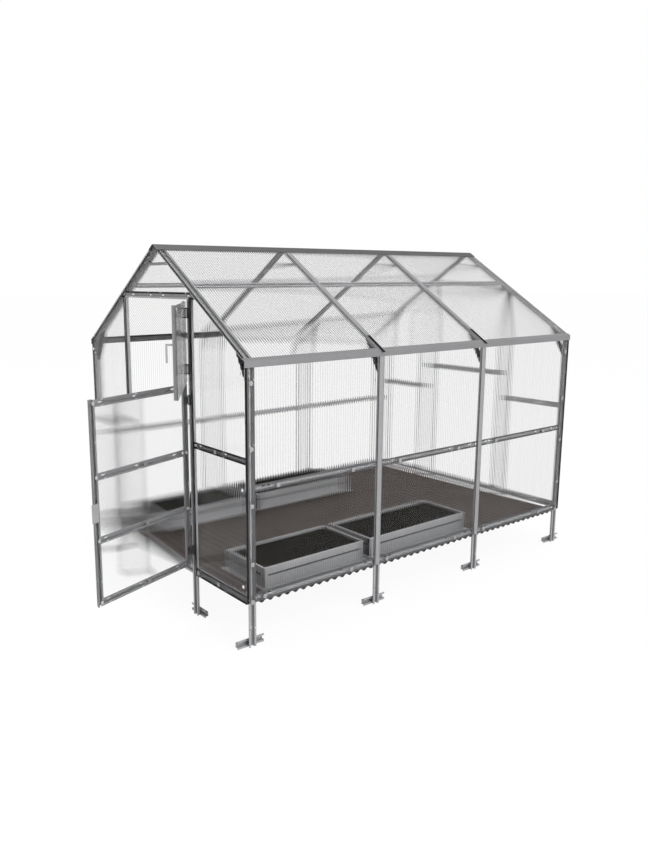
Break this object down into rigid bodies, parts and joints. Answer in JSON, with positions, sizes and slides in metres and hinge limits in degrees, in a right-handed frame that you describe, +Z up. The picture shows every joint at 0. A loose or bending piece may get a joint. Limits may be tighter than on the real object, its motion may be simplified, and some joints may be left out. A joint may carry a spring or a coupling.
{
  "type": "polycarbonate greenhouse",
  "caption": "Walk-in garden greenhouse with a galvanised hat-section frame, clear twin-wall sheets, a split door standing open, a corrugated floor and raised beds",
  "frame": {"origin": "at the foot of the near front corner post, on the ground and on the post's outer face", "axes": "X runs along the greenhouse from the door end, Y across it from the near side wall, Z up"},
  "size_m": [3.9019, 2.0743, 2.3366],
  "materials": {
    "zinc": "galvanised, dull",
    "folded_zinc": "folded sheet, darker grey",
    "clear_sheet": "clear twin-wall polycarbonate, fine ribs",
    "black_rubber": "matt",
    "brown_floor": "dark brown, satin",
    "bed_metal": "galvanised, smooth",
    "soil": "rough dark soil"
  },
  "bodies": {
    "root": {"near_posts": "zinc", "far_posts": "zinc", "near_rafters": "zinc", "far_rafters": "zinc", "collar_ties": "zinc", "near_knee_braces": "zinc", "far_knee_braces": "zinc", "ridge_cap": "folded_zinc", "near_eave_trim": "folded_zinc", "far_eave_trim": "folded_zinc", "near_purlins": "zinc", "far_purlins": "zinc", "near_girts": "zinc", "far_girts": "zinc", "near_base_rails": "zinc", "far_base_rails": "zinc", "front_base_rails": "zinc", "back_base_rails": "zinc", "door_posts": "zinc", "front_header": "zinc", "front_side_rails": "zinc", "back_posts": "zinc", "back_header": "zinc", "back_side_rails": "zinc", "back_centre_rail": "zinc", "side_feet": "zinc", "front_feet": "zinc", "back_feet": "zinc", "near_wall_sheets": "clear_sheet", "far_wall_sheets": "clear_sheet", "near_roof_sheets": "clear_sheet", "far_roof_sheets": "clear_sheet", "front_gable_sheets": "clear_sheet", "back_gable_sheets": "clear_sheet", "joint_strips": "zinc", "roof_seals": "black_rubber", "corner_seals": "black_rubber", "floor_sheet": "brown_floor", "bed_boxes": "bed_metal", "bed_soil": "soil", "hinge_pins": "folded_zinc", "window_frame": "zinc", "window_sheet": "clear_sheet", "window_handle": "zinc"},
    "door_leaf": {"door_stiles": "zinc", "door_rails": "zinc", "door_sheet": "clear_sheet", "door_hinges": "folded_zinc", "door_latch": "zinc"}
  },
  "joints": [
    {"name": "door_hinge", "type": "hinge", "parent": "root", "child": "door_leaf", "pos_m": [-0.0435, 0.604, 0.913], "axis": [0, 0, 1], "range_deg": [-108.5, 40]}
  ]
}
